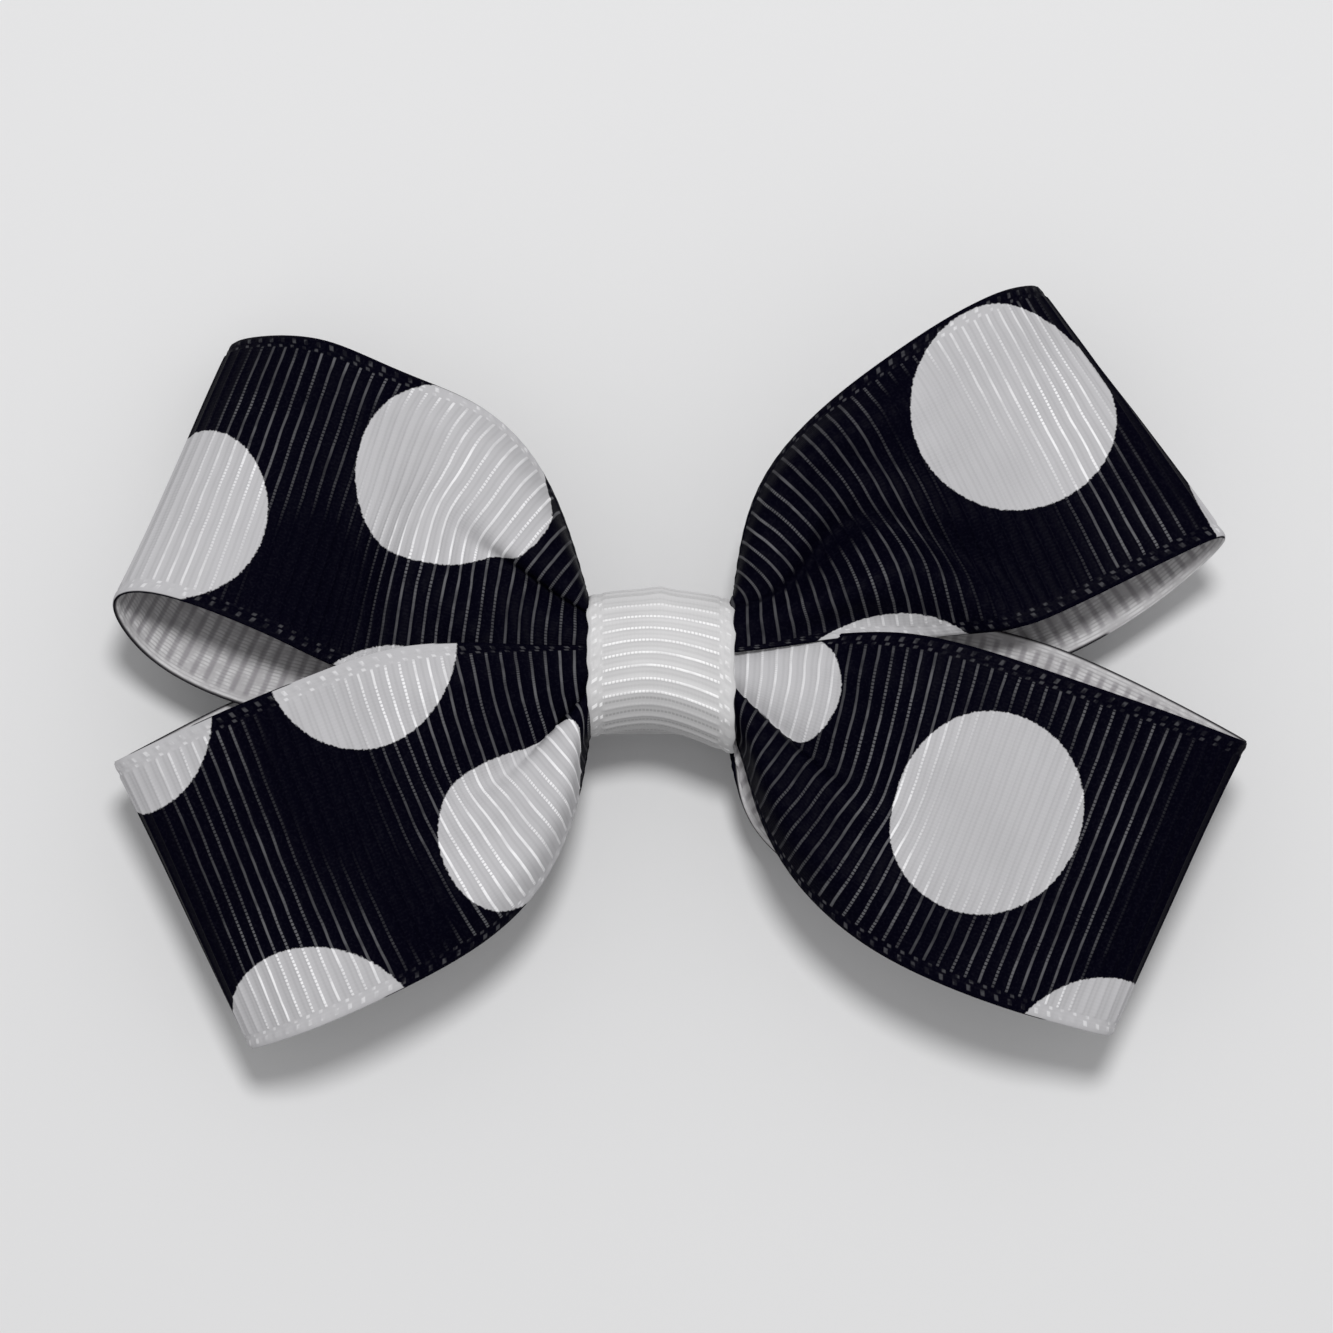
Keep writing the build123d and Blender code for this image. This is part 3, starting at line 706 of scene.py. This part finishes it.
def grosgrain(name, look, printed):
    """Grosgrain's outer face: warp threads packed side by side over the ribs, plain or printed with dots."""
    n = Nodes(name)
    edge = n.attribute("edge")
    rib = n.math("MULTIPLY_ADD", n.noise(420.0), 0.16, n.math("ADD", n.attribute("rib"), -0.08))
    crest = n.ridges(rib)
    threads = n.ridges(n.attribute("across"), THREAD_PITCH)
    inside_edge = n.steps(edge, 0.86 * SELVAGE, SELVAGE)
    line = crest_lines(n, crest, threads, inside_edge, look["beads"])
    if printed:
        line = n.times(line, n.steps(n.noise(120.0, 1.0), 0.35, 0.62, 0.45, 1.0))
    line = add_stitches(n, line, rib, edge, look["stitch"])
    colour = white_weave(n, line, crest, threads, inside_edge, look)
    if printed:
        colour = ink_round_dots(n, line, edge, colour)
    n.link(colour, n.shader.inputs["Base Color"])
    n.set(Roughness=0.45, Specular_IOR_Level=look["specular"])
    raise_threads(n, threads)
    return n.material


def plain_back():
    """The ribbon's unprinted face: round ribs with soft grooves between them, and fine crossing threads. The
    grooves get painted shade and the threads' tops painted highlights.
    """
    n = Nodes("plain_grosgrain")
    edge = n.attribute("edge")
    wave = n.math("COSINE", n.math("MULTIPLY", n.attribute("rib"), 2 * math.pi))
    wave = n.math("MULTIPLY_ADD", wave, 0.5, 0.5)
    groove_shade = n.times(n.steps(wave, 0.35, 1.0), n.steps(edge, 0.35 * SELVAGE, 0.8 * SELVAGE))
    threads = n.ridges(n.attribute("across"), THREAD_PITCH)
    lit = n.times(n.steps(threads, 0.2, 0.9), n.steps(n.noise(900.0, 3.0), 0.35, 0.62))
    body = n.mix(n.times(lit, 0.6), BACK_DULL, BACK_LIT)
    body = n.mix(n.times(groove_shade, 0.66), body, BACK_GROOVE_SHADE)
    # A dark line along the edge, except in the core of a dot.
    dark_rim = n.times(n.steps(edge, 0.06, 0.20, 1.0, 0.0), n.steps(n.attribute("dot"), *DOT_CORE))
    n.link(n.mix(dark_rim, body, EDGE_DARK_LINE), n.shader.inputs["Base Color"])
    n.set(Roughness=0.5, Specular_IOR_Level=0.25)
    raise_threads(n, threads)
    return n.material


def metal(name, colour, roughness, grain, scratch_depth):
    """Steel with faint wear, its grain as a noise scale and its scratches' depth in metres."""
    n = Nodes(name)
    worn = n.noise(grain, 4.0, roughness=0.6)
    n.link(n.mix(n.steps(worn, 0.3, 0.75), colour, dim(colour, 0.95)), n.shader.inputs["Base Color"])
    n.link(n.steps(worn, 0.3, 0.8, roughness * 0.9, roughness * 1.15), n.shader.inputs["Roughness"])
    n.set(Metallic=1.0)
    n.bump(n.noise(grain * 9, 3.0), distance=scratch_depth, strength=0.5)
    return n.material


def hot_glue():
    """Milky, half-clear glue."""
    n = Nodes("hot_glue")
    cloud = n.steps(n.noise(420.0, 3.0), 0.3, 0.7)
    n.link(n.mix(cloud, (0.80, 0.78, 0.70), (0.88, 0.87, 0.82)), n.shader.inputs["Base Color"])
    n.set(Roughness=0.28, Transmission_Weight=0.25, Subsurface_Weight=0.2, Subsurface_Scale=0.002)
    n.bump(n.noise(700.0, 3.0), distance=0.0001, strength=0.6)
    return n.material


def thread():
    """White polyester thread."""
    n = Nodes("white_thread")
    twist = n.noise(4000.0, 3.0)
    n.link(n.mix(twist, (0.72, 0.72, 0.73), (0.86, 0.86, 0.86)), n.shader.inputs["Base Color"])
    n.set(Roughness=0.6, Sheen_Weight=0.15)
    n.bump(twist, distance=0.00005, strength=0.8)
    return n.material


# ---------------------------------------------------------------- the bow's four loops

def squeeze(value, low, high):
    """Clip softly: what lies past a limit keeps a small share of its distance, so that no two points meet."""
    inside = np.clip(value, low, high)
    return inside + PAST_LIMIT * (value - inside)


def inset_rows(grid, first):
    """Rows that carry a loop's first or last end on inside the wrap, drawn in to fit it."""
    row = grid[0 if first else -1]
    side = np.sign(row[:, 0].mean())
    low = INSET_LOW_LEFT if side < 0 else INSET_LOW_RIGHT
    made = []
    for share in np.linspace(0, 1, INSET_ROWS + 1)[1:]:
        more = row.copy()
        more[:, 0] -= side * KNOT_INSET * share
        narrowed = more[:, 1] * (1 - INSET_NARROWING * min(1.0, 2 * share))
        more[:, 1] = squeeze(narrowed, low, INSET_HIGH)
        more[:, 2] = squeeze(more[:, 2], INSET_FLOOR, INSET_TOP - INSET_CROWN * more[:, 1]**2)
        made.append(more)
    return np.array(made[::-1] if first else made)


def loop_grid(loop):
    """A loop's settled grid, run on into the knot at both ends, and its rows' distances along the ribbon."""
    grid = relax(first_shape(loop))
    length = step_lengths(grid, 0).sum(axis=0).mean()
    outside = np.arange(len(grid)) * length / (len(grid) - 1)
    inset = KNOT_INSET / INSET_ROWS * np.arange(1, INSET_ROWS + 1)
    along = np.r_[-inset[::-1], outside, outside[-1] + inset]
    return np.concatenate((inset_rows(grid, True), grid, inset_rows(grid, False))), along


def dot_distance(dots, at, across):
    """Distance out from the rim of the nearest dot, negative inside it."""
    distance = np.full((len(at), len(across)), FAR)
    for s, t, *more in dots:
        radius = more[0] if more else DOT_RADIUS
        away = np.hypot(at[:, None] - s, across[None, :] - t) - radius
        distance = np.minimum(distance, away)
    return distance


def crest_highlight_strength(loop, surface, at, across):
    """How strongly the painted highlights on the ribs' crests show: not at all at the fold and in the listed
    patches, which are left in painted shade.
    """
    fold = at[np.argmax(np.abs(surface[..., 0]), axis=0)]
    unlit_reach = loop["unlit_fold"]
    crest_highlight = smooth_step(unlit_reach - UNLIT_FOLD_BLUR, unlit_reach + UNLIT_FOLD_BLUR, np.abs(at[:, None] - fold[None, :]))
    for s, t, half_length, half_width in loop["unlit"]:
        reach = np.hypot((at[:, None] - s) / half_length, (across[None, :] - t) / half_width)
        crest_highlight = crest_highlight * smooth_step(*UNLIT_BLUR, reach)
    return crest_highlight


def ribbon_loop(name, loop, printed, plain):
    """One loop of the dotted ribbon, from the knot round its fold and back under itself."""
    grid, along = loop_grid(loop)
    first_rib = int(np.ceil(along[0] / RIB_PITCH + 0.5))
    last_rib = int(np.floor(along[-1] / RIB_PITCH - 0.5))
    at = rib_rows(first_rib, last_rib + 1, RIB_PITCH)
    across = edge_spacing(RIBBON_WIDTH)
    columns_at = np.linspace(0, RIBBON_WIDTH, STEPS_ACROSS + 1)
    wide = catmull(grid.transpose(1, 0, 2).copy(), columns_at, across).transpose(1, 0, 2)
    fine = catmull(wide, along, at)
    values = {"dot": dot_distance(loop["dots"], at, across), "crest_highlight": crest_highlight_strength(loop, fine, at, across)}
    front = grid_normals(fine)[: len(fine) // 4]
    facing = 1.0 if np.median(front[..., 2]) > 0 else -1.0  # the front layer's outer face looks up
    piece = ribbon_shell(f"ribbon_{name}", fine, at / RIB_PITCH, across, RIBBON_WIDTH, RIBBON_THICK,
                         (printed, plain), facing, values)
    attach(piece, "bow")
    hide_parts(f"loop_{name}")


# ---------------------------------------------------------------- the centre wrap

def wrap_shift(x, y, z):
    """How far the wrap's ribs are pushed towards +Y: they arch over the gathers, and droop at the right-hand
    end."""
    loose = smooth_step(4.9, 7.0, z)
    arch = WRAP_ARCH * (1 - ((x + 0.3) / (0.5 * WRAP_WIDTH))**2)
    arch = arch + WRAP_PEAK * np.exp(-((x + 0.1) / 0.7)**2) * smooth_step(3.0, 4.8, y)
    droop = WRAP_DROOP * smooth_step(-1.5, 5.3, x) * (1 - 0.8 * smooth_step(-4.0, 5.0, y))
    return loose * (arch * (1 - 0.45 * smooth_step(0.0, 5.2, y)) - droop)


def wrap_rows():
    """The wrap's length, and where its rows lie: their distances along it and their (y, z)."""
    path = np.array(WRAP_PATH, float)
    knots = np.r_[0, np.cumsum(np.linalg.norm(np.diff(path, axis=0), axis=1)**0.7)]
    dense = catmull(path, knots, np.linspace(0, knots[-1], PATH_SAMPLES))
    travelled = np.r_[0, np.cumsum(np.linalg.norm(np.diff(dense, axis=0), axis=1))]
    length = travelled[-1]
    at = rib_rows(1, int(length / WRAP_RIB_PITCH) - 1, WRAP_RIB_PITCH)
    at = np.r_[0.0, at[at > 0.1], length]
    return length, at, np.stack([np.interp(at, travelled, dense[:, i]) for i in (0, 1)], axis=-1)


def wrap_ribbon(material):
    """The narrow ribbon round the gathers and the clip's upper jaw. Its ends overlap under the clip, where
    they are glued."""
    length, at, line = wrap_rows()
    across = edge_spacing(WRAP_WIDTH)
    x = across - 0.5 * WRAP_WIDTH
    side, height = line[:, 0:1], line[:, 1:2]
    wave = 0.05 * np.sin(at * 2.1) + 0.04 * np.sin(at * 3.7 + 1.0)
    middle = np.zeros((len(at), len(across), 3))
    middle[..., 0] = x[None, :] + wave[:, None] * (np.abs(x) / x.max())**4
    middle[..., 1] = side + wrap_shift(x[None, :], side, height)
    middle[..., 2] = height
    over_knot = grid_normals(middle)[len(at) // 2, len(x) // 2]
    facing = -1.0 if over_knot[2] < 0 else 1.0  # the outer face looks up there
    # Painted light on the wrap: crest highlights only on its lit middle, painted shade on its flank that faces
    # away from the lamp.
    lit = smooth_step(-3.1, -2.3, side) * (1 - smooth_step(3.6, 4.4, side)) * np.ones_like(x)
    dark = (1 - smooth_step(-2.9, -2.0, side)) * np.ones_like(x)
    piece = ribbon_shell("wrap_ribbon", middle, at / WRAP_RIB_PITCH, across, WRAP_WIDTH, WRAP_THICK,
                         (material, material), facing, {"crest_highlight": lit, "groove_shade": dark})
    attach(piece, "bow")
    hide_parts("centre_wrap")


# ---------------------------------------------------------------- thread, glue and the clip

def torsion_spring(material):
    """The clip's spring: a coil round the pin, one leg under the upper handle and one on the lower."""
    angle = np.linspace(0, 2 * math.pi * SPRING_TURNS, int(SPRING_STEPS * SPRING_TURNS))
    x = PIN[0] - SPRING_RADIUS * np.sin(angle)
    z = PIN[1] - SPRING_RADIUS * np.cos(angle)
    y = SPRING_PITCH * (angle / (2 * math.pi) - 0.5 * SPRING_TURNS)
    coil = np.stack((x, y, z), axis=-1)
    reach = np.linspace(SPRING_LEG, SPRING_LEG_START, SPRING_LEG_STEPS)[:, None]
    lower = coil[0] + reach * np.array((1.0, 0.0, 0.0))
    upper = coil[-1] + reach[::-1] * np.array((1.0, 0.0, 0.0))
    piece = tube("torsion_spring", np.concatenate((lower, coil, upper)), 0.5 * SPRING_WIRE, material)
    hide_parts("clip_spring")
    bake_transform(piece)


def tie_thread(material):
    """The thread that draws the ribbon into its gathers: turns side by side, hidden under the wrap."""
    path = np.array(THREAD_PATH, float)
    knots = np.arange(len(path) + 3.0) - 1.0
    closed = np.concatenate((path[-1:], path, path[:2]))
    at = np.linspace(0, len(path), THREAD_STEPS, endpoint=False)
    ring = catmull(closed, knots, at)
    turns = []
    for i in range(THREAD_TURNS):
        x = (i - 0.5 * (THREAD_TURNS - 1) + at / len(path)) * THREAD_WIDTH
        turns.append(np.stack((x, ring[:, 0], ring[:, 1]), axis=-1))
    piece = tube("tie_thread_turns", np.concatenate(turns), 0.5 * THREAD_WIDTH, material, sides=8)
    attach(piece, "bow")
    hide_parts("tie_thread")


def squarer(value, power):
    """A sine or cosine that swings more squarely, with its sign kept."""
    return np.sign(value) * np.abs(value)**power


def glue_bead(material):
    """Hot glue squeezed between the clip and the gathers: a flat cushion with a lumpy, rounded edge."""
    low, high = (np.array(corner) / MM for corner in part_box("glue_pad"))
    middle, half = 0.5 * (low + high), 0.5 * (high - low)
    turn = np.linspace(0, 2 * math.pi, GLUE_AROUND, endpoint=False)[None, :]
    rise = np.linspace(-0.5 * math.pi, 0.5 * math.pi, GLUE_UP + 2)[1:-1, None]
    lumps = 1 - 0.035 * (1 + np.sin(3 * turn + 0.7)) - 0.03 * (1 + np.sin(7 * turn + 2.0))
    out = np.cos(rise)**GLUE_SIDE * lumps
    x = middle[0] + half[0] * out * squarer(np.cos(turn), GLUE_CORNER)
    y = middle[1] + half[1] * out * squarer(np.sin(turn), GLUE_CORNER)
    z = middle[2] + half[2] * squarer(np.sin(rise), GLUE_FACE) * np.ones_like(turn)
    ends = np.array(((middle[0], middle[1], low[2]), (middle[0], middle[1], high[2])))
    piece = closed_rings("glue_bead", np.stack((x, y, z), axis=-1), ends, material)
    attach(piece, "bow")
    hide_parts("glue_pad")


def dress(node, material):
    """Give a CAD node's shape a finished material."""
    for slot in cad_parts[node].material_slots:
        slot.material = material


printed_ribbon = grosgrain("dotted_grosgrain", DOTTED, True)
plain_ribbon = plain_back()
wrap_material = grosgrain("wrap_grosgrain", WRAP, False)
for loop_name, loop_net in LOOPS.items():
    ribbon_loop(loop_name, loop_net, printed_ribbon, plain_ribbon)
wrap_ribbon(wrap_material)
torsion_spring(metal("spring_steel", SPRING_STEEL, roughness=0.24, grain=900.0, scratch_depth=0.00001))
glue_bead(hot_glue())
clip_steel = metal("clip_steel", CLIP_STEEL, roughness=0.26, grain=260.0, scratch_depth=0.00002)
dress("clip_upper_jaw", clip_steel)
dress("clip_lower_jaw", clip_steel)
rivet_steel = metal("rivet_steel", RIVET_STEEL, roughness=0.32, grain=1200.0, scratch_depth=0.00002)
dress("clip_hinge_pin", rivet_steel)
tie_thread(thread())


# ---------------------------------------------------------------- stage, light and camera

def floor():
    n = Nodes("floor")
    tone = n.mix(n.noise(14.0), (0.775, 0.775, 0.78), (0.785, 0.785, 0.79))
    n.link(tone, n.shader.inputs["Base Color"])
    n.set(Roughness=0.7)
    size = FLOOR_HALF
    points = [(-size, -size, 0), (size, -size, 0), (size, size, 0), (-size, size, 0)]
    piece = quad_mesh("floor", points, [(0, 1, 2, 3)], [n.material])


def overhead_lamp():
    """A round lamp high behind the bow, aimed at its middle."""
    data = bpy.data.lights.new("overhead", "AREA")
    data.shape = "DISK"
    data.size = LAMP_SIZE
    data.energy = LAMP_WATTS
    lamp = bpy.data.objects.new("overhead", data)
    lamp.location = LAMP_PLACE
    to_origin = -Vector(LAMP_PLACE)
    lamp.rotation_euler = to_origin.to_track_quat("-Z", "Y").to_euler()
    bpy.context.collection.objects.link(lamp)


def room_light():
    """Even light from all round."""
    world = bpy.data.worlds.new("room")
    world.use_nodes = True
    background = world.node_tree.nodes["Background"]
    background.inputs["Color"].default_value = ROOM_COLOUR
    background.inputs["Strength"].default_value = ROOM_STRENGTH
    bpy.context.scene.world = world


def photo_camera():
    """The photograph's view: from above, a little in front of the bow and tilted towards it."""
    data = bpy.data.cameras.new("camera")
    data.lens = CAMERA_LENS
    data.sensor_width = 36.0
    data.clip_start = 0.01
    camera = bpy.data.objects.new("camera", data)
    camera.location = CAMERA_PLACE
    camera.rotation_euler = (math.radians(CAMERA_TILT), 0.0, 0.0)
    bpy.context.collection.objects.link(camera)
    bpy.context.scene.camera = camera


floor()
overhead_lamp()
room_light()
bpy.context.scene.view_settings.view_transform = "Standard"
photo_camera()
